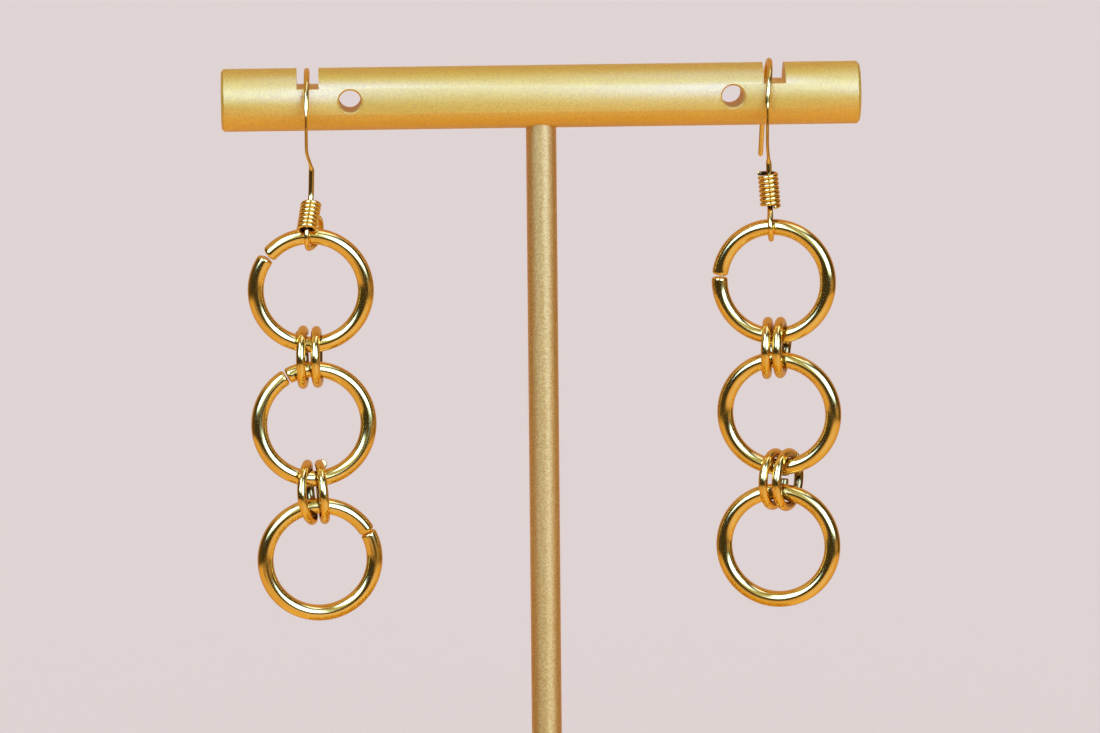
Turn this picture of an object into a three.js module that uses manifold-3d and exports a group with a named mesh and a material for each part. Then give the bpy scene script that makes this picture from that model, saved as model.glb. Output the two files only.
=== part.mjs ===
// A pair of triple hoop earrings on a T-bar earring stand.
//
// Each earring is an ear wire with a coil bead on its stem, and three cut hoops of round wire
// that hang one below the other, joined by pairs of small jump rings.
//
// Millimetres, +Z up. The origin is the middle of the base's underside; the bar runs along X and
// the front of the earrings faces -Y.
import * as THREE from "three";
import { mergeVertices } from "three/addons/utils/BufferGeometryUtils.js";
import Module from "manifold-3d";

const wasm = await Module();
wasm.setup();

// ---- driving dimensions ----
const BAR = { length: 71.2, diameter: 7, chamfer: 0.3, axisHeight: 92, sides: 32 };
const SLOT = { fromMiddle: 25.98, width: 2.44, floorAboveAxis: 1.41 };
const HOLE = { fromMiddle: 21.3, diameter: 2.46, rimDiameter: 2.86, sides: 16 };
const POST = { diameter: 3.4, intoBar: 2, intoBase: 4, socketGap: 0.1, endGap: 0.3, sides: 24 };
const BASE = { diameter: 60, thickness: 5, chamfer: 0.8, sides: 40 };

const EAR_WIRE = { diameter: 0.63, thin: 0.37, wide: 0.86, steps: 60, sides: 8 };
const EYE_GAP = 0.1; // between the eye's foot and the top hoop
const COIL = { diameter: 2.32, wire: 0.47, stepsPerTurn: 9, sides: 6 };
const HOOP = { radius: 6.13, wire: 1.8, steps: 40, sides: 8 };
const RING = { wire: 1.05, steps: 22, sides: 8 };

// Each eye's line from the stem, round its foot and up to its end: to the right and to the front
// of the stem's line at that height, and up from the foot.
const EYES = {
  left: [
    { right: 0, forward: 0, up: 6.35 },
    { right: -0.02, forward: 0.06, up: 5.75 },
    { right: -0.06, forward: 0.24, up: 5.15 },
    { right: -0.11, forward: 0.5, up: 4.55 },
    { right: -0.17, forward: 0.8, up: 3.95 },
    { right: -0.24, forward: 1.11, up: 3.35 },
    { right: -0.33, forward: 1.42, up: 2.75 },
    { right: -0.41, forward: 1.68, up: 2.2 },
    { right: -0.44, forward: 1.83, up: 1.65 },
    { right: -0.42, forward: 1.78, up: 1.1 },
    { right: -0.36, forward: 1.42, up: 0.55 },
    { right: -0.23, forward: 0.7, up: 0.08 },
    { right: -0.01, forward: 0, up: 0 },
    { right: 0.35, forward: -0.75, up: 0.15 },
    { right: 0.74, forward: -1.3, up: 0.6 },
    { right: 1.02, forward: -1.62, up: 1.25 },
    { right: 1.13, forward: -1.68, up: 1.9 },
    { right: 1.11, forward: -1.55, up: 2.45 },
    { right: 1.01, forward: -1.28, up: 2.95 },
    { right: 0.9, forward: -1, up: 3.25 },
  ],
  right: [
    { right: 0, forward: 0.1, up: 3.75 },
    { right: -0.02, forward: 0.4, up: 3.35 },
    { right: -0.05, forward: 0.88, up: 2.85 },
    { right: -0.09, forward: 1.28, up: 2.35 },
    { right: -0.12, forward: 1.54, up: 1.9 },
    { right: -0.13, forward: 1.65, up: 1.45 },
    { right: -0.1, forward: 1.52, up: 0.95 },
    { right: -0.04, forward: 1.05, up: 0.38 },
    { right: 0, forward: 0.45, up: 0.05 },
    { right: 0.02, forward: 0, up: 0 },
    { right: 0.05, forward: -0.8, up: 0.2 },
    { right: 0.07, forward: -1.4, up: 0.85 },
    { right: 0.07, forward: -1.7, up: 1.55 },
    { right: 0.08, forward: -1.6, up: 2.25 },
    { right: 0.09, forward: -1.25, up: 2.85 },
  ],
};

// One row for each ear wire. Heights are above the bar's axis, x is from the stand's middle.
// crownRadius, crownHeight: the arc over the bar and the height of its centre.
// crownLean: sideways slope of the crown. tail, tailFlare, tailLean: the tail's length and its
// angles from vertical, to the back and to the left. tailShift: how far its top stands to the right
// of the leg. legX: the leg's place. neckShift: how far the stem stands to the right of the leg.
// stemSlope: sideways slope of the stem.
const EAR_WIRES = {
  left: {
    crownRadius: 4.73, crownHeight: -1.55, crownLean: 1.8, tail: 7.4, tailFlare: 44, tailLean: 0,
    tailShift: 0, legX: -26.2, neckShift: 0.52, stemSlope: -0.03,
  },
  right: {
    crownRadius: 4.04, crownHeight: -0.4, crownLean: 6.2, tail: 8.35, tailFlare: 12, tailLean: 2.3,
    tailShift: 0.18, legX: 25.05, neckShift: 0.16, stemSlope: 0.025,
  },
};
const FLAT = { top: -1.4, bottom: -6.7, blend: 0.9 }; // the flattened stretch of the leg
const NECK = { top: -5.2, bottom: -7.5 }; // where the leg bends over to the stem
const LEAN = { top: -2.3, bottom: -7.2, slope: 0.11 }; // the stretch that leans to the back

// One row for each coil bead: the middles of its two ends. The left one has slid down onto the
// eye and tilts with it. startAt: where the upper wire end is, from the back towards +X.
const COILS = {
  left: { top: [-25.73, -4.21, -10.95], bottom: [-26.32, -6.27, -14.12], turns: 7, startAt: 0 },
  right: { top: [25.07, -3.5, -8.31], bottom: [25.41, -3.52, -12.57], turns: 7.69, startAt: -90 },
};

// One row for each hoop. x: its middle. link: from the wire that it hangs on to its own wire.
// turn: about the vertical. lean: top to the back. cutAt: the cut's place, from +X through +Z.
const HOOPS = {
  left: [
    { name: "top", x: -25.97, link: 0, turn: -0.6, lean: -2, cutAt: 141, cut: 0.3 },
    { name: "middle", x: -25.85, link: 2.8, turn: 5.6, lean: 4, cutAt: 118.5, cut: 0.14 },
    { name: "bottom", x: -25.4, link: 3.08, turn: 4.9, lean: -2, cutAt: 29, cut: 0.14 },
  ],
  right: [
    { name: "top", x: 25.71, link: 0, turn: -14.2, lean: 1, cutAt: 175, cut: 0.22 },
    { name: "middle", x: 26.28, link: 2.68, turn: -13.7, lean: -2, cutAt: -90, cut: 0.1 },
    { name: "bottom", x: 26.14, link: 2.8, turn: -11.9, lean: 1, cutAt: 90, cut: 0.1 },
  ],
};
// The middle of each top hoop's wire, where it hangs in the eye.
const TOP_HOOP_WIRE = { left: { y: -4.08, z: -14.83 }, right: { y: -3.5, z: -14.63 } };

// One row for each small ring. x: its middle. up: its middle's height over the middle of the two
// hoop wires in it. outer: its outer diameter. turn: its front towards +X. lean: its top towards
// +X. bent: how far its head and foot stand to the right of a flat ring. cutAt: from the front over
// the top. sprung: how far the cut end below or in front stands to the side.
const RINGS = {
  left: [
    {
      name: "upper_a", x: -26.93, up: 0, outer: 7.1, turn: -5, lean: 0, bent: 0,
      cutAt: 125, gap: 0.12, sprung: -0.55,
    },
    {
      name: "upper_b", x: -25.45, up: -0.01, outer: 6.92, turn: -3, lean: 0, bent: 0,
      cutAt: 250, gap: 0.12, sprung: 0.2,
    },
    {
      name: "lower_a", x: -26.88, up: 0, outer: 7.34, turn: -7.2, lean: -5, bent: 0.46,
      cutAt: 215, gap: 0.12, sprung: 0,
    },
    {
      name: "lower_b", x: -25.08, up: 0, outer: 7.27, turn: 4.5, lean: -4.3, bent: 0,
      cutAt: 100, gap: 0.12, sprung: 0.42,
    },
  ],
  right: [
    {
      name: "upper_a", x: 25.03, up: 0, outer: 7, turn: -9, lean: 0, bent: 0,
      cutAt: 230, gap: 0.12, sprung: -0.2,
    },
    {
      name: "upper_b", x: 26.4, up: 0.01, outer: 6.9, turn: -12, lean: 0, bent: 0,
      cutAt: 160, gap: 0.12, sprung: 0.5,
    },
    {
      name: "lower_a", x: 25.71, up: -0.01, outer: 6.96, turn: -29, lean: 0, bent: 0,
      cutAt: 184, gap: 0.36, sprung: -0.1,
    },
    {
      name: "lower_b", x: 27.2, up: -0.02, outer: 7.1, turn: -29, lean: 0, bent: 0,
      cutAt: 120, gap: 0.12, sprung: 0.1,
    },
  ],
};

// ---- metals ----
const metal = (color, roughness) =>
  new THREE.MeshStandardMaterial({ color, roughness, metalness: 1 });
const satinGold = metal(0xe0a850, 0.38);
const blastedGold = metal(0xc89a52, 0.6);
const polishedGold = metal(0xe8b24a, 0.14);

// ---- helpers ----
const rad = THREE.MathUtils.degToRad;

function solid(geometry) {
  geometry.deleteAttribute("normal");
  geometry.deleteAttribute("uv");
  const merged = mergeVertices(geometry, 1e-4);
  return new wasm.Manifold(
    new wasm.Mesh({
      numProp: 3,
      vertProperties: merged.attributes.position.array,
      triVerts: new Uint32Array(merged.index.array),
    }),
  );
}

function geometryOf(made) {
  const mesh = made.getMesh();
  const geometry = new THREE.BufferGeometry();
  geometry.setAttribute("position", new THREE.BufferAttribute(mesh.vertProperties, 3));
  geometry.setIndex(new THREE.BufferAttribute(mesh.triVerts, 1));
  geometry.computeVertexNormals();
  return geometry;
}

function piece(name, geometry, material) {
  const mesh = new THREE.Mesh(geometry, material);
  mesh.name = name;
  return mesh;
}

// A solid of revolution about Z from [radius, height] corners that start and end on the axis.
function turned(corners, sides) {
  const points = corners.map(([radius, height]) => new THREE.Vector2(radius, height));
  return new THREE.LatheGeometry(points, sides).rotateX(Math.PI / 2);
}

// Round wire along a route, with flat cut ends.
function wireAlong(route, diameter, steps, sides) {
  const section = new THREE.Shape();
  section.absarc(0, 0, diameter / 2, 0, 2 * Math.PI);
  return new THREE.ExtrudeGeometry(section, {
    steps,
    curveSegments: sides / 2,
    bevelEnabled: false,
    extrudePath: route,
  });
}

class Route extends THREE.Curve {
  constructor(pointAt) {
    super();
    this.pointAt = pointAt;
  }
  getPoint(t, target = new THREE.Vector3()) {
    return target.copy(this.pointAt(t));
  }
}

// ---- stand ----
function standBar() {
  const { length, diameter, chamfer, sides } = BAR;
  const half = length / 2;
  const radius = diameter / 2;
  let bar = solid(
    turned(
      [
        [0, -half],
        [radius - chamfer, -half],
        [radius, -half + chamfer],
        [radius, half - chamfer],
        [radius - chamfer, half],
        [0, half],
      ],
      sides,
    ).rotateY(Math.PI / 2),
  );
  for (const side of [-1, 1]) {
    const cutter = new THREE.BoxGeometry(SLOT.width, 2 * diameter, diameter);
    cutter.translate(side * SLOT.fromMiddle, 0, SLOT.floorAboveAxis + diameter / 2);
    bar = bar.subtract(solid(cutter));
    bar = bar.subtract(solid(holeCutter().translate(side * HOLE.fromMiddle, 0, 0)));
  }
  const socket = turned(
    [
      [0, -2 * radius],
      [POST.diameter / 2 + POST.socketGap, -2 * radius],
      [POST.diameter / 2 + POST.socketGap, -radius + POST.intoBar + POST.endGap],
      [0, -radius + POST.intoBar + POST.endGap],
    ],
    POST.sides,
  );
  return geometryOf(bar.subtract(solid(socket)));
}

// A front-to-back drill with a small chamfer where it meets the bar's front and back.
function holeCutter() {
  const { diameter, rimDiameter, sides } = HOLE;
  const rimDepth = (rimDiameter - diameter) / 2;
  const surface = Math.sqrt((BAR.diameter / 2) ** 2 - (rimDiameter / 2) ** 2);
  const inner = surface - rimDepth;
  return turned(
    [
      [0, -BAR.diameter],
      [rimDiameter / 2, -BAR.diameter],
      [rimDiameter / 2, -surface],
      [diameter / 2, -inner],
      [diameter / 2, inner],
      [rimDiameter / 2, surface],
      [rimDiameter / 2, BAR.diameter],
      [0, BAR.diameter],
    ],
    sides,
  ).rotateX(Math.PI / 2);
}

function standPost() {
  const top = BAR.axisHeight - BAR.diameter / 2 + POST.intoBar;
  const foot = BASE.thickness - POST.intoBase;
  const radius = POST.diameter / 2;
  return turned(
    [
      [0, foot],
      [radius, foot],
      [radius, top],
      [0, top],
    ],
    POST.sides,
  );
}

function standBase() {
  const { diameter, thickness, chamfer, sides } = BASE;
  const radius = diameter / 2;
  const socketRadius = POST.diameter / 2 + POST.socketGap;
  return turned(
    [
      [0, 0],
      [radius - chamfer / 2, 0],
      [radius, chamfer / 2],
      [radius, thickness - chamfer],
      [radius - chamfer, thickness],
      [socketRadius, thickness],
      [socketRadius, thickness - POST.intoBase - POST.endGap],
      [0, thickness - POST.intoBase - POST.endGap],
    ],
    sides,
  );
}

// ---- ear wire ----
// The tail's points, from its end up to the crown.
function tailPoints(wire, tailTop) {
  const steps = 5;
  const flare = rad(wire.tailFlare);
  const points = [];
  for (let i = steps; i > 0; i--) {
    const along = (wire.tail * i) / steps;
    const x = tailTop.x - along * Math.tan(rad(wire.tailLean));
    const y = tailTop.y + along * Math.sin(flare);
    points.push(new THREE.Vector3(x, y, tailTop.z - along * Math.cos(flare)));
  }
  return points;
}

// The crown's arc, from the top of the tail to the top of the leg.
function crownPoints(wire) {
  const steps = 12;
  const flare = rad(wire.tailFlare);
  const points = [];
  for (let i = 0; i <= steps; i++) {
    const angle = flare + ((Math.PI - flare) * i) / steps;
    const y = wire.crownRadius * Math.cos(angle);
    const rise = wire.crownRadius * Math.sin(angle);
    const behind = wire.tailShift * (0.5 + Math.cos(angle) / 2);
    const x = wire.legX + behind + rise * Math.tan(rad(wire.crownLean));
    points.push(new THREE.Vector3(x, y, wire.crownHeight + rise));
  }
  return points;
}

function legPoints(wire, foot) {
  const steps = 9;
  const points = [];
  for (let i = 1; i <= steps; i++) {
    const z = wire.crownHeight + ((foot - wire.crownHeight) * i) / (steps + 1);
    points.push(stemAt(wire, z));
  }
  return points;
}

function eyePoints(side) {
  return EYES[side].map(({ right, forward, up }) =>
    stemAt(EAR_WIRES[side], footOf(side) + up).add(new THREE.Vector3(right, -forward, 0)),
  );
}

// The wire's route, from the tail's end over the crown, down the leg and stem, round the eye.
function earWireRoute(side) {
  const wire = EAR_WIRES[side];
  const crown = crownPoints(wire);
  const loop = eyePoints(side);
  const points = [...tailPoints(wire, crown[0]), ...crown, ...legPoints(wire, loop[0].z), ...loop];
  return new THREE.CatmullRomCurve3(points, false, "centripetal");
}

// The leg's and stem's place at a height: the leg leans to the back, and the neck carries it over
// to the stem.
function stemAt(wire, z) {
  const neck = THREE.MathUtils.smoothstep(-z, -NECK.top, -NECK.bottom);
  const slope = wire.stemSlope * Math.max(0, NECK.bottom - z);
  const leant = THREE.MathUtils.clamp(LEAN.top - z, 0, LEAN.top - LEAN.bottom);
  return new THREE.Vector3(
    wire.legX + wire.neckShift * neck + slope,
    -wire.crownRadius + LEAN.slope * leant,
    z,
  );
}

// The height of the eye's foot, below the top hoop's wire.
function footOf(side) {
  return TOP_HOOP_WIRE[side].z - HOOP.wire / 2 - EYE_GAP - EAR_WIRE.diameter / 2;
}

function earWire(side) {
  const { diameter, steps, sides } = EAR_WIRE;
  const geometry = wireAlong(earWireRoute(side), diameter, steps, sides);
  flattenLeg(geometry, EAR_WIRES[side]);
  return geometry;
}

// Presses the leg from the sides between the flat's two ends.
function flattenLeg(geometry, wire) {
  const { smoothstep } = THREE.MathUtils;
  const position = geometry.attributes.position;
  for (let i = 0; i < position.count; i++) {
    const z = position.getZ(i);
    if (position.getY(i) > 0) continue;
    const upper = smoothstep(FLAT.top + FLAT.blend - z, 0, FLAT.blend);
    const lower = smoothstep(z - FLAT.bottom + FLAT.blend, 0, FLAT.blend);
    const press = upper * lower;
    const thin = 1 + (EAR_WIRE.thin / EAR_WIRE.diameter - 1) * press;
    const wide = 1 + (EAR_WIRE.wide / EAR_WIRE.diameter - 1) * press;
    const middle = stemAt(wire, z);
    position.setX(i, middle.x + (position.getX(i) - middle.x) * thin);
    position.setY(i, middle.y + (position.getY(i) - middle.y) * wide);
  }
}

// ---- coil bead ----
function coilBead({ top, bottom, turns, startAt }) {
  const start = new THREE.Vector3(...top);
  const axis = new THREE.Vector3(...bottom).sub(start);
  const length = axis.length();
  const down = axis.normalize();
  const across = new THREE.Vector3(1, 0, 0).addScaledVector(down, -down.x).normalize();
  const back = new THREE.Vector3().crossVectors(across, down);
  const radius = (COIL.diameter - COIL.wire) / 2;
  const wound = length - COIL.wire;
  const helix = new Route((t) => {
    const angle = rad(startAt) + 2 * Math.PI * turns * t;
    return start
      .clone()
      .addScaledVector(down, COIL.wire / 2 + wound * t)
      .addScaledVector(back, radius * Math.cos(angle))
      .addScaledVector(across, radius * Math.sin(angle));
  });
  const steps = Math.round(turns * COIL.stepsPerTurn);
  return wireAlong(helix, COIL.wire, steps, COIL.sides);
}

// ---- hoops and rings ----
// A cut hoop in the XZ plane, its middle at the origin.
function hoop({ cutAt, cut }) {
  const halfCut = cut / 2 / HOOP.radius;
  const start = rad(cutAt) + halfCut;
  const sweep = 2 * Math.PI - 2 * halfCut;
  const circle = new Route((t) => {
    const angle = start + sweep * t;
    return new THREE.Vector3(HOOP.radius * Math.cos(angle), 0, HOOP.radius * Math.sin(angle));
  });
  return wireAlong(circle, HOOP.wire, HOOP.steps, HOOP.sides);
}

// A cut ring in the YZ plane, its middle at the origin, with one cut end sprung to the side.
function smallRing({ outer, bent, cutAt, gap, sprung }) {
  const radius = (outer - RING.wire) / 2;
  const halfCut = gap / 2 / radius;
  const start = rad(cutAt) + halfCut;
  const sweep = 2 * Math.PI - 2 * halfCut;
  const circle = new Route((t) => {
    const angle = start + sweep * t;
    const aside = sprung * (1 - t) ** 6 + bent * Math.sin(angle) ** 2;
    return new THREE.Vector3(aside, -radius * Math.cos(angle), radius * Math.sin(angle));
  });
  return wireAlong(circle, RING.wire, RING.steps, RING.sides);
}

// Each hoop's middle, hung one below the other from the ear wire's eye.
function hangHoops(side) {
  let { y, z } = TOP_HOOP_WIRE[side];
  return HOOPS[side].map((row) => {
    const back = HOOP.radius * Math.sin(rad(row.lean));
    const drop = HOOP.radius * Math.cos(rad(row.lean));
    const middle = new THREE.Vector3(row.x, y - back, z - row.link - drop);
    y = middle.y - back;
    z = middle.z - drop;
    return { row, middle };
  });
}

// The point of a hoop's wire at a given x, at its head (end = 1) or its foot (end = -1).
function wireAt({ row, middle }, x, end) {
  const across = (x - middle.x) / Math.cos(rad(row.turn));
  const rise = end * Math.sqrt(HOOP.radius ** 2 - across ** 2);
  return new THREE.Vector3(
    x,
    middle.y + across * Math.sin(rad(row.turn)) + rise * Math.sin(rad(row.lean)),
    middle.z + rise * Math.cos(rad(row.lean)),
  );
}

function earring(side) {
  const group = new THREE.Group();
  group.add(piece(`${side}_ear_hook`, earWire(side), polishedGold));
  group.add(piece(`${side}_coil`, coilBead(COILS[side]), polishedGold));
  const hung = hangHoops(side);
  for (const { row, middle } of hung) {
    const mesh = piece(`${side}_hoop_${row.name}`, hoop(row), polishedGold);
    mesh.rotation.set(-rad(row.lean), 0, rad(row.turn), "ZXY");
    mesh.position.copy(middle);
    group.add(mesh);
  }
  for (const row of RINGS[side]) {
    const [above, below] = row.name.startsWith("upper") ? hung : hung.slice(1);
    const mesh = piece(`${side}_ring_${row.name}`, smallRing(row), polishedGold);
    mesh.rotation.set(0, rad(row.lean), rad(row.turn), "ZYX");
    const aside = (below.row.link / 2) * Math.tan(rad(row.lean));
    const upper = wireAt(above, row.x + aside, -1);
    const lower = wireAt(below, row.x - aside, 1);
    mesh.position.lerpVectors(upper, lower, 0.5);
    mesh.position.z += row.up;
    group.add(mesh);
  }
  return group;
}

// ---- assembly ----
const raised = new THREE.Group();
raised.position.z = BAR.axisHeight;
raised.add(piece("stand_bar", standBar(), satinGold));
raised.add(earring("left"));
raised.add(earring("right"));

const group = new THREE.Group();
group.add(raised);
group.add(piece("stand_post", standPost(), blastedGold));
group.add(piece("stand_base", standBase(), blastedGold));

export default group;
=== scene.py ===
# The looks of a pair of triple hoop earrings on a T-bar earring stand.
#
# Sizes are in millimetres and repeat part.mjs; the meshes are made in metres. The origin is the
# middle of the base's underside, the bar runs along X and the front of the earrings faces -Y.
import math
from math import cos, pi, radians, sin
from types import SimpleNamespace as Row

import bpy
from mathutils import Matrix, Vector


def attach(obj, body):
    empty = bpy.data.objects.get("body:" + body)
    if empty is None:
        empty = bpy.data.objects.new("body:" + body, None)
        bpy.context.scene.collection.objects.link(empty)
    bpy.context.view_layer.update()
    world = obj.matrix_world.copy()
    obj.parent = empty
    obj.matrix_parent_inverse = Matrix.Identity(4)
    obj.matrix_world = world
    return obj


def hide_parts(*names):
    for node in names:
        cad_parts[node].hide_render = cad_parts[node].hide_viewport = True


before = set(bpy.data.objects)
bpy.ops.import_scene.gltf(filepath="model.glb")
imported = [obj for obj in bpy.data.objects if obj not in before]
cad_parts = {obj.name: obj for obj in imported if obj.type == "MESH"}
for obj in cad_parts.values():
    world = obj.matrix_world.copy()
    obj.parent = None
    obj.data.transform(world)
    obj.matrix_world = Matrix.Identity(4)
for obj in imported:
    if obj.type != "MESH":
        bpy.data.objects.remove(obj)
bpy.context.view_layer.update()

MM = 0.001

# ---- sizes, as in part.mjs ----
BAR = Row(length=71.2, diameter=7, chamfer=0.3, axis_height=92, sides=256)
SLOT = Row(from_middle=25.98, width=2.44, floor_above_axis=1.41, edge=0.06)
HOLE = Row(from_middle=21.3, diameter=2.46, rim_diameter=2.86, sides=96)
POST = Row(diameter=3.4, into_bar=2, into_base=4, socket_gap=0.1, end_gap=0.3, sides=128)
BASE = Row(diameter=60, thickness=5, chamfer=0.8, socket_edge=0.15, sides=256)

EAR_WIRE = Row(diameter=0.63, thin=0.37, wide=0.86, sides=24)
TAIL_TAPER = 0.14  # how much of its thickness the tail loses
EYE_GAP = 0.1
COIL = Row(diameter=2.32, wire=0.47, steps_per_turn=40, sides=16)
HOOP = Row(radius=6.13, wire=1.8, steps=180, sides=32)
RING = Row(wire=1.05, steps=128, sides=28)
PAINTED_SHADE = Row(coil=1, ring=0.8)  # painted shade: how dark the insides are painted, where the turns would shade them, from 0 to 1

# Edges that turn by more than these angles, in degrees, stay sharp or are bevelled.
SHARP_FROM = 38
BEVEL_FROM = 50

# Each eye's line from the stem, round its foot and up to its end: (to the right and to the front
# of the stem's line at that height, and up from the foot).
EYES = {
    "left": [
        (0, 0, 6.35), (-0.02, 0.06, 5.75), (-0.06, 0.24, 5.15), (-0.11, 0.5, 4.55),
        (-0.17, 0.8, 3.95), (-0.24, 1.11, 3.35), (-0.33, 1.42, 2.75), (-0.41, 1.68, 2.2),
        (-0.44, 1.83, 1.65), (-0.42, 1.78, 1.1), (-0.36, 1.42, 0.55), (-0.23, 0.7, 0.08),
        (-0.01, 0, 0), (0.35, -0.75, 0.15), (0.74, -1.3, 0.6), (1.02, -1.62, 1.25),
        (1.13, -1.68, 1.9), (1.11, -1.55, 2.45), (1.01, -1.28, 2.95), (0.9, -1, 3.25),
    ],
    "right": [
        (0, 0.1, 3.75), (-0.02, 0.4, 3.35), (-0.05, 0.88, 2.85), (-0.09, 1.28, 2.35),
        (-0.12, 1.54, 1.9), (-0.13, 1.65, 1.45), (-0.1, 1.52, 0.95), (-0.04, 1.05, 0.38),
        (0, 0.45, 0.05), (0.02, 0, 0), (0.05, -0.8, 0.2), (0.07, -1.4, 0.85),
        (0.07, -1.7, 1.55), (0.08, -1.6, 2.25), (0.09, -1.25, 2.85),
    ],
}

# Heights are above the bar's axis, x is from the stand's middle, and angles are in degrees.
EAR_WIRES = {
    "left": Row(
        crown_radius=4.73, crown_height=-1.55, crown_lean=1.8, tail=7.4, tail_flare=44,
        tail_lean=0, tail_shift=0, leg_x=-26.2, neck_shift=0.52, stem_slope=-0.03,
    ),
    "right": Row(
        crown_radius=4.04, crown_height=-0.4, crown_lean=6.2, tail=8.35, tail_flare=12,
        tail_lean=2.3, tail_shift=0.18, leg_x=25.05, neck_shift=0.16, stem_slope=0.025,
    ),
}
FLAT = Row(top=-1.4, bottom=-6.7, blend=0.9)  # the flattened stretch of the leg
NECK = Row(top=-5.2, bottom=-7.5)  # where the leg bends over to the stem
LEAN = Row(top=-2.3, bottom=-7.2, slope=0.11)  # the stretch that leans to the back

# The middles of each coil bead's two ends. start_at: where the upper wire end is, from the back
# towards +X.
COILS = {
    "left": Row(top=(-25.73, -4.21, -10.95), bottom=(-26.32, -6.27, -14.12), turns=7, start_at=0),
    "right": Row(top=(25.07, -3.5, -8.31), bottom=(25.41, -3.52, -12.57), turns=7.69, start_at=-90),
}

# link: from the wire that it hangs on to its own wire. turn: about the vertical. lean: top to
# the back. cut_at: the cut's place, from +X through +Z. splay: how much wider each side of the
# cut is at the hoop's outside.
HOOPS = {
    "left": [
        Row(name="top", x=-25.97, link=0, turn=-0.6, lean=-2, cut_at=141, cut=0.3, splay=0.2),
        Row(name="middle", x=-25.85, link=2.8, turn=5.6, lean=4, cut_at=118.5, cut=0.14, splay=0),
        Row(name="bottom", x=-25.4, link=3.08, turn=4.9, lean=-2, cut_at=29, cut=0.14, splay=0),
    ],
    "right": [
        Row(name="top", x=25.71, link=0, turn=-14.2, lean=1, cut_at=175, cut=0.22, splay=0.05),
        Row(name="middle", x=26.28, link=2.68, turn=-13.7, lean=-2, cut_at=-90, cut=0.1, splay=0),
        Row(name="bottom", x=26.14, link=2.8, turn=-11.9, lean=1, cut_at=90, cut=0.1, splay=0),
    ],
}
TOP_HOOP_WIRE = {"left": Row(y=-4.08, z=-14.83), "right": Row(y=-3.5, z=-14.63)}

# up: its middle's height over the middle of the two hoop wires in it. turn: its front towards +X.
# lean: its top towards +X. bent: how far its head and foot stand to the right of a flat ring.
# cut_at: from the front over the top. sprung: how far one cut end stands to the side.
RINGS = {
    "left": [
        Row(
            name="upper_a", x=-26.93, up=0, outer=7.1, turn=-5, lean=0,
            bent=0, cut_at=125, gap=0.12, sprung=-0.55,
        ),
        Row(
            name="upper_b", x=-25.45, up=-0.01, outer=6.92, turn=-3, lean=0,
            bent=0, cut_at=250, gap=0.12, sprung=0.2,
        ),
        Row(
            name="lower_a", x=-26.88, up=0, outer=7.34, turn=-7.2, lean=-5,
            bent=0.46, cut_at=215, gap=0.12, sprung=0,
        ),
        Row(
            name="lower_b", x=-25.08, up=0, outer=7.27, turn=4.5, lean=-4.3,
            bent=0, cut_at=100, gap=0.12, sprung=0.42,
        ),
    ],
    "right": [
        Row(
            name="upper_a", x=25.03, up=0, outer=7, turn=-9, lean=0,
            bent=0, cut_at=230, gap=0.12, sprung=-0.2,
        ),
        Row(
            name="upper_b", x=26.4, up=0.01, outer=6.9, turn=-12, lean=0,
            bent=0, cut_at=160, gap=0.12, sprung=0.5,
        ),
        Row(
            name="lower_a", x=25.71, up=-0.01, outer=6.96, turn=-29, lean=0,
            bent=0, cut_at=184, gap=0.36, sprung=-0.1,
        ),
        Row(
            name="lower_b", x=27.2, up=-0.02, outer=7.1, turn=-29, lean=0,
            bent=0, cut_at=120, gap=0.12, sprung=0.1,
        ),
    ],
}

# A wire's end as rings of (distance back from the end, share of the radius), both in radii.
CUT_END = [(0, 0.8), (0.03, 0.9), (0.09, 0.97), (0.18, 1)]
DOMED_END = [(0, 0.7), (0.03, 0.82), (0.09, 0.91), (0.18, 0.97), (0.32, 1)]
ROUND_END = [(0, 0.05), (0.05, 0.31), (0.2, 0.6), (0.45, 0.84), (0.75, 0.97), (1, 1)]

# ---- camera and backdrop ----
CAMERA = Row(
    place=(-23.0, -626.7, 156.8), yaw=-2.17, pitch=8.643, roll=-0.543, lens=184.63, sensor=36,
)
FLOOR = Row(side=6000, paper=(0.74, 0.665, 0.665))
PALE = (0.745, 0.672, 0.672)  # the wall that the camera sees behind the floor
FILL = (1.0, 0.985, 0.985)  # the even light on the floor


# ---- node trees ----
class Graph:
    """A node tree, written as calls that return sockets."""

    def __init__(self, tree):
        self.tree = tree
        tree.nodes.clear()

    def node(self, kind, inputs=None, **settings):
        made = self.tree.nodes.new("ShaderNode" + kind)
        for name, value in settings.items():
            setattr(made, name, value)
        for name, value in (inputs or {}).items():
            if isinstance(value, bpy.types.NodeSocket):
                self.tree.links.new(value, made.inputs[name])
            else:
                made.inputs[name].default_value = value
        return made

    def math(self, operation, *values):
        return self.node("Math", dict(enumerate(values)), operation=operation).outputs[0]

    def smooth(self, value, start, end, low=0.0, high=1.0):
        """From low at start to high at end, with soft ends."""
        inputs = {0: value, 1: start, 2: end, 3: low, 4: high}
        return self.node("MapRange", inputs, interpolation_type="SMOOTHSTEP").outputs[0]

    def noise(self, size, detail):
        """Noise from 0 to 1 whose bumps are about size millimetres across."""
        place = self.node("TexCoord").outputs["Object"]
        inputs = {"Vector": place, "Scale": 1 / (size * MM), "Detail": detail}
        return self.node("TexNoise", inputs).outputs[0]

    def mix(self, factor, first, second):
        inputs = {0: factor, 6: first, 7: second}
        return self.node("Mix", inputs, data_type="RGBA").outputs[2]

    def bump(self, height, depth, normal=None):
        """A normal for a height from 0 to 1 that stands for depth millimetres."""
        inputs = {"Height": height, "Distance": depth * MM, "Strength": 1.0}
        if normal:
            inputs["Normal"] = normal
        return self.node("Bump", inputs).outputs[0]


def colour(r, g, b):
    return (r, g, b, 1.0)


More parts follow.
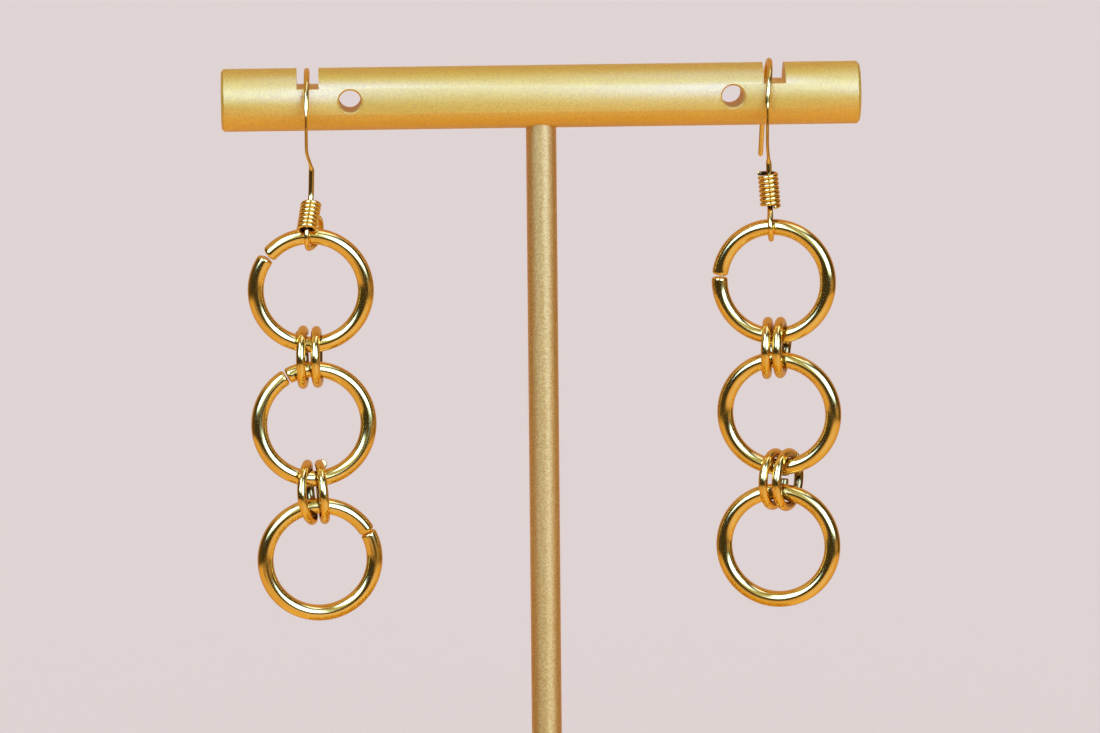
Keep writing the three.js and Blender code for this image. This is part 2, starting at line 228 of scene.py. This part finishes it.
def metal(name, build):
    """A metal material; build(graph) gives the Principled inputs."""
    material = bpy.data.materials.new(name)
    material.use_nodes = True
    graph = Graph(material.node_tree)
    inputs = {"Metallic": 1.0} | build(graph)
    shader = graph.node("BsdfPrincipled", inputs)
    graph.node("OutputMaterial", {"Surface": shader.outputs[0]})
    return material


def polished_gold(graph):
    """Plated brass wire: bright, with faint waves, fine scratches, a few darker patches, and
    painted shade darkening the insides of the coils and small rings."""
    patches = graph.smooth(graph.noise(2.4, 3), 0.45, 0.75)
    gold = graph.mix(patches, colour(0.95, 0.645, 0.155), colour(0.90, 0.57, 0.11))
    # painted shade: the inside attribute marks where the coils' and rings' hollows are painted dark
    inside = graph.node("Attribute", attribute_name="inside").outputs["Fac"]
    fine = graph.noise(0.12, 4)
    waves = graph.noise(1.1, 2)
    return {
        # mixes the painted shade into the gold's base colour
        "Base Color": graph.mix(inside, gold, colour(0.16, 0.08, 0.02)),
        "Roughness": graph.smooth(fine, 0.3, 0.75, 0.10, 0.15),
        "Normal": graph.bump(fine, 0.0003, graph.bump(waves, 0.006)),
        "Coat Weight": 0.2,
        "Coat Roughness": 0.08,
    }


def satin_gold(graph):
    """Anodised aluminium: a fine speckled grain under a clear layer."""
    grain = graph.noise(0.09, 3)
    speck = graph.smooth(graph.noise(0.16, 3), 0.3, 0.7)
    return {
        "Base Color": graph.mix(speck, colour(1.0, 0.64, 0.04), colour(0.84, 0.47, 0.02)),
        "Roughness": graph.smooth(graph.noise(0.6, 3), 0.3, 0.7, 0.64, 0.7),
        "Normal": graph.bump(grain, 0.004),
        "Coat Weight": 1.0,
        "Coat Roughness": 0.4,
        "Coat IOR": 2.0,
    }


def blasted_gold(graph):
    """Bead-blasted anodised metal: a coarse sparkling grain."""
    grain = graph.noise(0.15, 2)
    speck = graph.smooth(graph.noise(0.2, 2), 0.38, 0.62)
    return {
        "Base Color": graph.mix(speck, colour(1.0, 0.64, 0.13), colour(0.84, 0.43, 0.05)),
        "Roughness": graph.smooth(grain, 0.3, 0.7, 0.45, 0.55),
        "Normal": graph.bump(grain, 0.022),
        "Coat Weight": 1.0,
        "Coat Roughness": 0.35,
        "Coat IOR": 1.8,
    }


def base_gold(graph):
    """Painted steel: matt gold paint with a fine grain and a faint orange-peel skin."""
    grain = graph.noise(0.16, 3)
    skin = graph.noise(1.4, 2)
    return {
        "Base Color": graph.mix(grain, colour(1.0, 0.60, 0.08), colour(0.88, 0.50, 0.05)),
        "Roughness": graph.smooth(grain, 0.3, 0.7, 0.78, 0.88),
        "Normal": graph.bump(grain, 0.012, graph.bump(skin, 0.03)),
    }


# ---- meshes ----
def to_frame(points, raised=0.0):
    """Points in millimetres, raised by a height, as metres in the row frame."""
    return [(Vector(p) + Vector((0, 0, raised))) * MM for p in points]


def shown(name, mesh, body, material):
    """A finished piece that stands for the CAD node of its name."""
    mesh.materials.clear()
    mesh.materials.append(material)
    mesh.shade_smooth()
    mesh.set_sharp_from_angle(angle=radians(SHARP_FROM))
    piece = bpy.data.objects.new(name + "_fine", mesh)
    bpy.context.scene.collection.objects.link(piece)
    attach(piece, body)
    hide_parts(name)
    return piece


def mesh_of(name, points, faces):
    mesh = bpy.data.meshes.new(name)
    mesh.from_pydata(points, [], faces)
    mesh.validate()
    return mesh


def ring_mesh(name, rings, raised=0.0):
    """A closed skin over rings of points that follow one another, with a flat face on each end."""
    sides = len(rings[0])
    points = [p for ring in rings for p in ring]
    faces = []
    for i in range(len(rings) - 1):
        for j in range(sides):
            a, b = i * sides + j, i * sides + (j + 1) % sides
            faces.append((a, b, b + sides, a + sides))
    last = (len(rings) - 1) * sides
    faces.append(tuple(reversed(range(sides))))
    faces.append(tuple(range(last, last + sides)))
    return mesh_of(name, to_frame(points, raised), faces)


def turned(name, corners, sides, raised=0.0):
    """A solid of revolution about Z from (radius, height) corners, lowest first."""
    rings = [
        [(r * cos(2 * pi * j / sides), r * sin(2 * pi * j / sides), h) for j in range(sides)]
        for r, h in corners
    ]
    return ring_mesh(name, rings, raised)


def smoothstep(value, start, end):
    t = min(1, max(0, (value - start) / (end - start)))
    return t * t * (3 - 2 * t)


def paint_inner_shade(mesh, off_axis, radius, wire, amount):
    """Marks each point's painted shade, the darker the nearer it is to the axis of its coil or
    ring.
    """
    inside = mesh.attributes.new("inside", "FLOAT", "POINT")
    for point, off in zip(inside.data, off_axis):
        point.value = amount * (1 - smoothstep(off, radius - wire / 4, radius + wire / 8))


def tangents(centres):
    ends = [centres[0], *centres, centres[-1]]
    return [(after - before).normalized() for before, after in zip(ends, ends[2:])]


def wire_rings(centres, radius, sides, start_end, far_end):
    """Rings of a round wire along the centres, carried along without twist."""
    reach = radius * max(start_end[-1][0], far_end[-1][0])
    first, last = centres[0], centres[-1]
    ahead = (centres[1] - first).normalized()
    back = (centres[-2] - last).normalized()
    rows = [(first + ahead * radius * d, share) for d, share in start_end]
    rows += [(c, 1) for c in centres if min((c - first).length, (c - last).length) > reach]
    rows += [(last + back * radius * d, share) for d, share in reversed(far_end)]

    along = tangents([c for c, _ in rows])
    across = along[0].orthogonal().normalized()
    angles = [2 * pi * j / sides for j in range(sides)]
    rings = []
    for i, (centre, share) in enumerate(rows):
        if i:
            across = along[i - 1].rotation_difference(along[i]) @ across
        beside = along[i].cross(across)
        rings.append(
            [centre + radius * share * (across * cos(a) + beside * sin(a)) for a in angles]
        )
    return rings


def spline(points, steps):
    """A centripetal Catmull-Rom line through the points, with steps between each two."""
    ends = [2 * points[0] - points[1], *points, 2 * points[-1] - points[-2]]
    line = []
    for a, b, c, d in zip(ends, ends[1:], ends[2:], ends[3:]):
        t1 = (b - a).length ** 0.5
        t2 = t1 + (c - b).length ** 0.5
        t3 = t2 + (d - c).length ** 0.5
        for k in range(steps):
            t = t1 + (t2 - t1) * k / steps
            ab = a.lerp(b, t / t1)
            bc = b.lerp(c, (t - t1) / (t2 - t1))
            cd = c.lerp(d, (t - t2) / (t3 - t2))
            early = ab.lerp(bc, t / t2)
            late = bc.lerp(cd, (t - t1) / (t3 - t1))
            line.append(early.lerp(late, (t - t1) / (t2 - t1)))
    return [*line, points[-1]]


# ---- stand ----
def cut_away(piece, cutter):
    """Takes the cutter's shape out of the piece."""
    modifier = piece.modifiers.new("cut", "BOOLEAN")
    modifier.object, modifier.operation, modifier.solver = cutter, "DIFFERENCE", "EXACT"
    settle(piece)
    bpy.data.objects.remove(cutter)


def settle(piece):
    """Makes the piece's modifiers its mesh."""
    evaluated = piece.evaluated_get(bpy.context.evaluated_depsgraph_get())
    piece.data = bpy.data.meshes.new_from_object(evaluated)
    piece.modifiers.clear()


def loose(mesh):
    """A bare object for a mesh that is still being worked on."""
    made = bpy.data.objects.new(mesh.name, mesh)
    bpy.context.scene.collection.objects.link(made)
    return made


def slot_cutter(side):
    """A block that stands on the slot's floor and reaches out of the bar all round."""
    floor, reach = SLOT.floor_above_axis, BAR.diameter
    middle = side * SLOT.from_middle
    left, right = middle - SLOT.width / 2, middle + SLOT.width / 2
    corners = [(left, -reach), (right, -reach), (right, reach), (left, reach)]
    rings = [[(x, y, height) for x, y in corners] for height in (floor, floor + reach)]
    return loose(ring_mesh("slot", rings))


def hole_cutter(side):
    """A front-to-back drill with a small chamfer where it meets the bar's front and back."""
    inner, rim = HOLE.diameter / 2, HOLE.rim_diameter / 2
    surface = math.sqrt((BAR.diameter / 2) ** 2 - rim**2)
    depth = surface - (rim - inner)
    corners = [
        (rim, -BAR.diameter), (rim, -surface), (inner, -depth),
        (inner, depth), (rim, surface), (rim, BAR.diameter),
    ]
    mesh = turned("hole", corners, HOLE.sides)
    mesh.transform(Matrix.Rotation(pi / 2, 4, "X"))
    mesh.transform(Matrix.Translation((side * HOLE.from_middle * MM, 0, 0)))
    return loose(mesh)


def stand_bar(material):
    """The round crossbar with its slots, its holes and the post's socket, all edges eased."""
    half, radius, chamfer = BAR.length / 2, BAR.diameter / 2, BAR.chamfer
    corners = [
        (radius - chamfer, -half), (radius, -half + chamfer),
        (radius, half - chamfer), (radius - chamfer, half),
    ]
    mesh = turned("bar", corners, BAR.sides)
    mesh.transform(Matrix.Rotation(pi / 2, 4, "Y"))
    bar = loose(mesh)
    for side in (-1, 1):
        cut_away(bar, slot_cutter(side))
        cut_away(bar, hole_cutter(side))
    socket = POST.diameter / 2 + POST.socket_gap
    socket_top = -radius + POST.into_bar + POST.end_gap
    corners = [(socket, -2 * radius), (socket, socket_top)]
    cut_away(bar, loose(turned("socket", corners, POST.sides)))
    bevel = bar.modifiers.new("edges", "BEVEL")
    bevel.width, bevel.segments, bevel.limit_method = SLOT.edge * MM, 2, "ANGLE"
    bevel.angle_limit = radians(BEVEL_FROM)
    settle(bar)
    mesh = bar.data
    mesh.transform(Matrix.Translation((0, 0, BAR.axis_height * MM)))
    bpy.data.objects.remove(bar)
    shown("stand_bar", mesh, "stand", material)


def stand_post(material):
    top = BAR.axis_height - BAR.diameter / 2 + POST.into_bar
    foot = BASE.thickness - POST.into_base
    radius = POST.diameter / 2
    mesh = turned("post", [(radius, foot), (radius, top)], POST.sides)
    shown("stand_post", mesh, "stand", material)


def stand_base(material):
    """The foot disc: a rounded top edge, a small chamfer under it and the post's blind socket."""
    radius, top, edge = BASE.diameter / 2, BASE.thickness, BASE.chamfer
    socket = POST.diameter / 2 + POST.socket_gap
    steps = 8
    angles = [pi / 2 * i / steps for i in range(steps + 1)]
    corners = [(radius - edge / 2, 0), (radius, edge / 2)]
    corners += [(radius - edge + edge * cos(a), top - edge + edge * sin(a)) for a in angles]
    corners += [
        (socket + BASE.socket_edge, top), (socket, top - BASE.socket_edge),
        (socket, top - POST.into_base - POST.end_gap),
    ]
    mesh = turned("base", corners, BASE.sides)
    shown("stand_base", mesh, "stand", material)


# ---- ear wires ----
def stem_at(wire, z):
    """The leg's and stem's place at a height: the leg leans to the back, and the neck carries it
    over to the stem."""
    neck = smoothstep(-z, -NECK.top, -NECK.bottom)
    slope = wire.stem_slope * max(0, NECK.bottom - z)
    leant = min(max(0, LEAN.top - z), LEAN.top - LEAN.bottom)
    return Vector((
        wire.leg_x + wire.neck_shift * neck + slope,
        -wire.crown_radius + LEAN.slope * leant,
        z,
    ))


def crown_points(wire):
    steps = 12
    flare = radians(wire.tail_flare)
    points = []
    for i in range(steps + 1):
        angle = flare + (pi - flare) * i / steps
        rise = wire.crown_radius * sin(angle)
        behind = wire.tail_shift * (0.5 + cos(angle) / 2)
        x = wire.leg_x + behind + rise * math.tan(radians(wire.crown_lean))
        points.append(Vector((x, wire.crown_radius * cos(angle), wire.crown_height + rise)))
    return points


def tail_points(wire, top):
    steps = 5
    flare, lean = radians(wire.tail_flare), radians(wire.tail_lean)
    along = [wire.tail * i / steps for i in range(steps, 0, -1)]
    return [top + Vector((-a * math.tan(lean), a * sin(flare), -a * cos(flare))) for a in along]


def leg_points(wire, foot):
    steps = 9
    fall = foot - wire.crown_height
    heights = [wire.crown_height + fall * i / (steps + 1) for i in range(1, steps + 1)]
    return [stem_at(wire, z) for z in heights]


def ear_wire_route(side):
    """The wire's centres, from the tail's end over the crown, down the leg and round the eye."""
    wire = EAR_WIRES[side]
    foot = TOP_HOOP_WIRE[side].z - HOOP.wire / 2 - EYE_GAP - EAR_WIRE.diameter / 2
    loop = [
        stem_at(wire, foot + up) + Vector((right, -forward, 0))
        for right, forward, up in EYES[side]
    ]
    crown = crown_points(wire)
    points = [*tail_points(wire, crown[0]), *crown, *leg_points(wire, loop[0].z), *loop]
    return spline(points, steps=10)


def pressed(point, wire):
    """The point after the leg is pressed from the sides between the flat's two ends."""
    if point.y > 0:
        return point
    upper = smoothstep(FLAT.top + FLAT.blend - point.z, 0, FLAT.blend)
    lower = smoothstep(point.z - FLAT.bottom + FLAT.blend, 0, FLAT.blend)
    press = upper * lower
    thin = 1 + (EAR_WIRE.thin / EAR_WIRE.diameter - 1) * press
    wide = 1 + (EAR_WIRE.wide / EAR_WIRE.diameter - 1) * press
    x, y, z = stem_at(wire, point.z)
    return Vector((x + (point.x - x) * thin, y + (point.y - y) * wide, z))


def tapered(ring, wire):
    """A ring of the wire's points, drawn in towards the tail's end."""
    middle = sum(ring, Vector()) / len(ring)
    below = wire.crown_height + wire.crown_radius * sin(radians(wire.tail_flare)) - middle.z
    if middle.y < 0 or below < 0:
        return ring
    share = 1 - TAIL_TAPER * below / wire.tail
    return [middle + (p - middle) * share for p in ring]


def ear_wire(side, material):
    wire = EAR_WIRES[side]
    route, radius = ear_wire_route(side), EAR_WIRE.diameter / 2
    rings = wire_rings(route, radius, EAR_WIRE.sides, ROUND_END, CUT_END)
    rings = [[pressed(p, wire) for p in tapered(ring, wire)] for ring in rings]
    mesh = ring_mesh("ear_wire", rings, BAR.axis_height)
    shown(f"{side}_ear_hook", mesh, "stand", material)


# ---- coil beads ----
def coil_bead(side, material):
    row = COILS[side]
    start = Vector(row.top)
    axis = Vector(row.bottom) - start
    down = axis.normalized()
    across = (Vector((1, 0, 0)) - down * down.x).normalized()
    back = across.cross(down)
    radius = (COIL.diameter - COIL.wire) / 2
    wound = axis.length - COIL.wire
    steps = round(row.turns * COIL.steps_per_turn)
    centres = []
    for i in range(steps + 1):
        t = i / steps
        angle = radians(row.start_at) + 2 * pi * row.turns * t
        place = start + down * (COIL.wire / 2 + wound * t)
        centres.append(place + (back * cos(angle) + across * sin(angle)) * radius)
    rings = wire_rings(centres, COIL.wire / 2, COIL.sides, CUT_END, CUT_END)
    mesh = ring_mesh("coil", rings, BAR.axis_height)
    # painted shade inside the coil, darkest next to its axis
    off_axis = [(p - start).cross(down).length for ring in rings for p in ring]
    paint_inner_shade(mesh, off_axis, radius, COIL.wire, PAINTED_SHADE.coil)
    shown(f"{side}_coil", mesh, "stand", material)


# ---- hoops and rings ----
def arc(radius, cut_at, cut, place, steps):
    """Centres round a cut circle; place(angle, t) turns an angle into a point."""
    half = cut / 2 / radius
    start, sweep = radians(cut_at) + half, 2 * pi - 2 * half
    return [place(start + sweep * i / steps, i / steps) for i in range(steps + 1)]


def hang_hoops(side):
    """Each hoop's row and middle, hung one below the other from the ear wire's eye."""
    y, z = TOP_HOOP_WIRE[side].y, TOP_HOOP_WIRE[side].z
    hung = []
    for row in HOOPS[side]:
        back, drop = HOOP.radius * sin(radians(row.lean)), HOOP.radius * cos(radians(row.lean))
        middle = Vector((row.x, y - back, z - row.link - drop))
        y, z = middle.y - back, middle.z - drop
        hung.append((row, middle))
    return hung


def wire_at(row, middle, x, end):
    """The point of a hoop's wire at a given x, at its head (end = 1) or its foot (end = -1)."""
    across = (x - middle.x) / cos(radians(row.turn))
    rise = end * math.sqrt(HOOP.radius**2 - across**2)
    y = middle.y + across * sin(radians(row.turn)) + rise * sin(radians(row.lean))
    return Vector((x, y, middle.z + rise * cos(radians(row.lean))))


def place_rings(name, rings, turn, side, material, shade_inside=None):
    """A hoop or ring, turned and set in its place; the optional last argument paints shade inside
    its mesh.
    """
    rings = [[turn @ p for p in ring] for ring in rings]
    mesh = ring_mesh(name, rings, BAR.axis_height)
    # paints the shade inside the ring, where it is asked for
    if shade_inside:
        shade_inside(mesh)
    shown(name, mesh, f"{side}_drop", material)


def splayed(point, row):
    """Opens the hoop's cut wider towards its outside."""
    outward = max(0, math.hypot(point.x, point.z) - HOOP.radius) / (HOOP.wire / 2)
    beside = math.remainder(math.atan2(point.z, point.x) - radians(row.cut_at), 2 * pi)
    fade = 1 - smoothstep(abs(beside) * HOOP.radius, row.cut / 2, row.cut / 2 + HOOP.wire)
    angle = math.copysign(row.splay * outward * fade / HOOP.radius, beside)
    return Matrix.Rotation(-angle, 3, "Y") @ point


def hoop(side, row, middle, material):
    centres = arc(
        HOOP.radius, row.cut_at, row.cut,
        lambda a, t: HOOP.radius * Vector((cos(a), 0, sin(a))), HOOP.steps,
    )
    rings = wire_rings(centres, HOOP.wire / 2, HOOP.sides, DOMED_END, DOMED_END)
    rings = [[splayed(p, row) for p in ring] for ring in rings]
    turn = Matrix.Translation(middle) @ Matrix.Rotation(radians(row.turn), 4, "Z")
    turn @= Matrix.Rotation(-radians(row.lean), 4, "X")
    place_rings(f"{side}_hoop_{row.name}", rings, turn, side, material)


def small_ring(side, row, hung, material):
    radius = (row.outer - RING.wire) / 2
    centres = arc(
        radius, row.cut_at, row.gap,
        lambda a, t: Vector((
            row.sprung * (1 - t) ** 6 + row.bent * sin(a) ** 2, -radius * cos(a), radius * sin(a),
        )),
        RING.steps,
    )
    rings = wire_rings(centres, RING.wire / 2, RING.sides, DOMED_END, DOMED_END)
    # how far each point is from the ring's axis, for the painted shade inside it
    off_axis = [math.hypot(p.y, p.z) for ring in rings for p in ring]
    above, below = hung[:2] if row.name.startswith("upper") else hung[1:]
    aside = below[0].link / 2 * math.tan(radians(row.lean))
    middle = (wire_at(*above, row.x + aside, -1) + wire_at(*below, row.x - aside, 1)) / 2
    turn = Matrix.Translation(middle + Vector((0, 0, row.up)))
    turn @= Matrix.Rotation(radians(row.turn), 4, "Z") @ Matrix.Rotation(radians(row.lean), 4, "Y")
    # the ring's inside gets painted shade
    place_rings(
        f"{side}_ring_{row.name}", rings, turn, side, material,
        shade_inside=lambda mesh: paint_inner_shade(mesh, off_axis, radius, RING.wire, PAINTED_SHADE.ring),
    )


def earring(side, material):
    ear_wire(side, material)
    coil_bead(side, material)
    hung = hang_hoops(side)
    for row, middle in hung:
        hoop(side, row, middle, material)
    for row in RINGS[side]:
        small_ring(side, row, hung, material)


# ---- camera, floor and light ----
def make_camera():
    data = bpy.data.cameras.new("camera")
    data.lens, data.sensor_width = CAMERA.lens, CAMERA.sensor
    data.clip_start, data.clip_end = 0.01, 50
    camera = bpy.data.objects.new("camera", data)
    bpy.context.scene.collection.objects.link(camera)
    camera.matrix_world = (
        Matrix.Translation(Vector(CAMERA.place) * MM)
        @ Matrix.Rotation(radians(CAMERA.yaw), 4, "Z")
        @ Matrix.Rotation(pi / 2 - radians(CAMERA.pitch), 4, "X")
        @ Matrix.Rotation(radians(CAMERA.roll), 4, "Z")
    )
    bpy.context.scene.camera = camera


def make_floor():
    """A wide pale floor; the room's lower half stands for it in reflections."""
    half = FLOOR.side / 2
    corners = [(-half, -half, 0), (half, -half, 0), (half, half, 0), (-half, half, 0)]
    mesh = mesh_of("floor", to_frame(corners), [(0, 1, 2, 3)])
    material = bpy.data.materials.new("paper")
    material.use_nodes = True
    graph = Graph(material.node_tree)
    shader = graph.node("BsdfDiffuse", {"Color": colour(*FLOOR.paper)})
    graph.node("OutputMaterial", {"Surface": shader.outputs[0]})
    mesh.materials.append(material)
    floor = loose(mesh)
    floor.visible_glossy = False


# The room in reflections: its plain parts, the angles over which they blend, and the patches of
# light on them. Azimuth is from the front towards +X, elevation from the horizon, both in degrees;
# soft is how far an edge fades.
ROOM = Row(
    dark=(0.045, 0.04, 0.03), sides=(0.085, 0.062, 0.035), behind=(0.58, 0.34, 0.20),
    overhead=(0.52, 0.38, 0.20), floor=(0.76, 0.51, 0.27), floor_sides=(0.76, 0.47, 0.18),
)
BLENDS = Row(aside=(45, 75), behind=(98, 146), overhead=(50, 75), floor=(-13, -20))
PATCHES = [
    Row(azimuth=-30, width=34, elevation=-22, height=10, soft=8, light=(0.40, 0.27, 0.14)),
    Row(azimuth=32, width=64, elevation=-44, height=40, soft=20, light=(0.82, 0.64, 0.52)),
    Row(azimuth=-100, width=76, elevation=47, height=28, soft=16, light=(0.54, 0.39, 0.2)),
    Row(azimuth=-6, width=40, elevation=30, height=48, soft=12, light=(0.50, 0.56, 0.45)),
    Row(azimuth=0, width=400, elevation=-86, height=60, soft=24, light=(0.86, 0.57, 0.2)),
    Row(azimuth=58, width=50, elevation=-8, height=14, soft=14, light=(0.40, 0.27, 0.13)),
    Row(azimuth=28, width=40, elevation=6, height=12, soft=8, light=(0.34, 0.40, 0.50)),
    Row(azimuth=-36, width=40, elevation=34, height=44, soft=11, light=(2.6, 4.75, 13.0)),
    Row(azimuth=31, width=44, elevation=23, height=38, soft=11, light=(2.75, 4.95, 13.0)),
    Row(azimuth=0, width=130, elevation=37, height=4, soft=4, light=(0.30, 0.26, 0.16)),
    Row(azimuth=64, width=92, elevation=70, height=22, soft=12, light=(1.30, 1.70, 3.50)),
]


def blend(graph, angle, edges):
    """From 0 to 1 between two angles in degrees."""
    start, end = edges
    return graph.smooth(angle, radians(start), radians(end))


def within(graph, value, middle, width, soft):
    """1 inside a range of angles in degrees, fading to 0 over its edges."""
    off = graph.math("ABSOLUTE", graph.math("SUBTRACT", value, radians(middle)))
    half = radians(width / 2)
    return graph.smooth(off, half + radians(soft / 2), half - radians(soft / 2))


def make_room():
    """Soft windows in a dim room over a warm floor, and the pale wall that the camera sees."""
    world = bpy.data.worlds.new("room")
    bpy.context.scene.world = world
    world.use_nodes = True
    world.cycles.sampling_method = "NONE"
    graph = Graph(world.node_tree)
    direction = graph.node("TexCoord").outputs["Generated"]
    x, y, z = graph.node("SeparateXYZ", {0: direction}).outputs
    azimuth = graph.math("ARCTAN2", x, graph.math("MULTIPLY", y, -1))
    elevation = graph.math("ARCSINE", z)
    off_front = graph.math("ABSOLUTE", azimuth)

    aside = blend(graph, off_front, BLENDS.aside)
    behind = blend(graph, off_front, BLENDS.behind)
    walls = graph.mix(aside, colour(*ROOM.dark), colour(*ROOM.sides))
    walls = graph.mix(behind, walls, colour(*ROOM.behind))
    ground = graph.mix(aside, colour(*ROOM.floor), colour(*ROOM.floor_sides))
    ground = graph.mix(behind, ground, colour(*ROOM.behind))
    room = graph.mix(blend(graph, elevation, BLENDS.overhead), walls, colour(*ROOM.overhead))
    room = graph.mix(blend(graph, elevation, BLENDS.floor), room, ground)
    for patch in PATCHES:
        across = within(graph, azimuth, patch.azimuth, patch.width, patch.soft)
        up = within(graph, elevation, patch.elevation, patch.height, patch.soft)
        room = graph.mix(graph.math("MULTIPLY", across, up), room, colour(*patch.light))

    rays = graph.node("LightPath").outputs
    light = graph.mix(rays["Is Diffuse Ray"], room, colour(*FILL))
    light = graph.mix(rays["Is Camera Ray"], light, colour(*PALE))
    background = graph.node("Background", {"Color": light})
    graph.node("OutputWorld", {"Surface": background.outputs[0]})


# ---- scene ----
bpy.context.scene.view_settings.view_transform = "Standard"
make_camera()
make_floor()
make_room()

gold = metal("polished_gold", polished_gold)
stand_bar(metal("satin_gold", satin_gold))
stand_post(metal("blasted_gold", blasted_gold))
stand_base(metal("base_gold", base_gold))
earring("left", gold)
earring("right", gold)
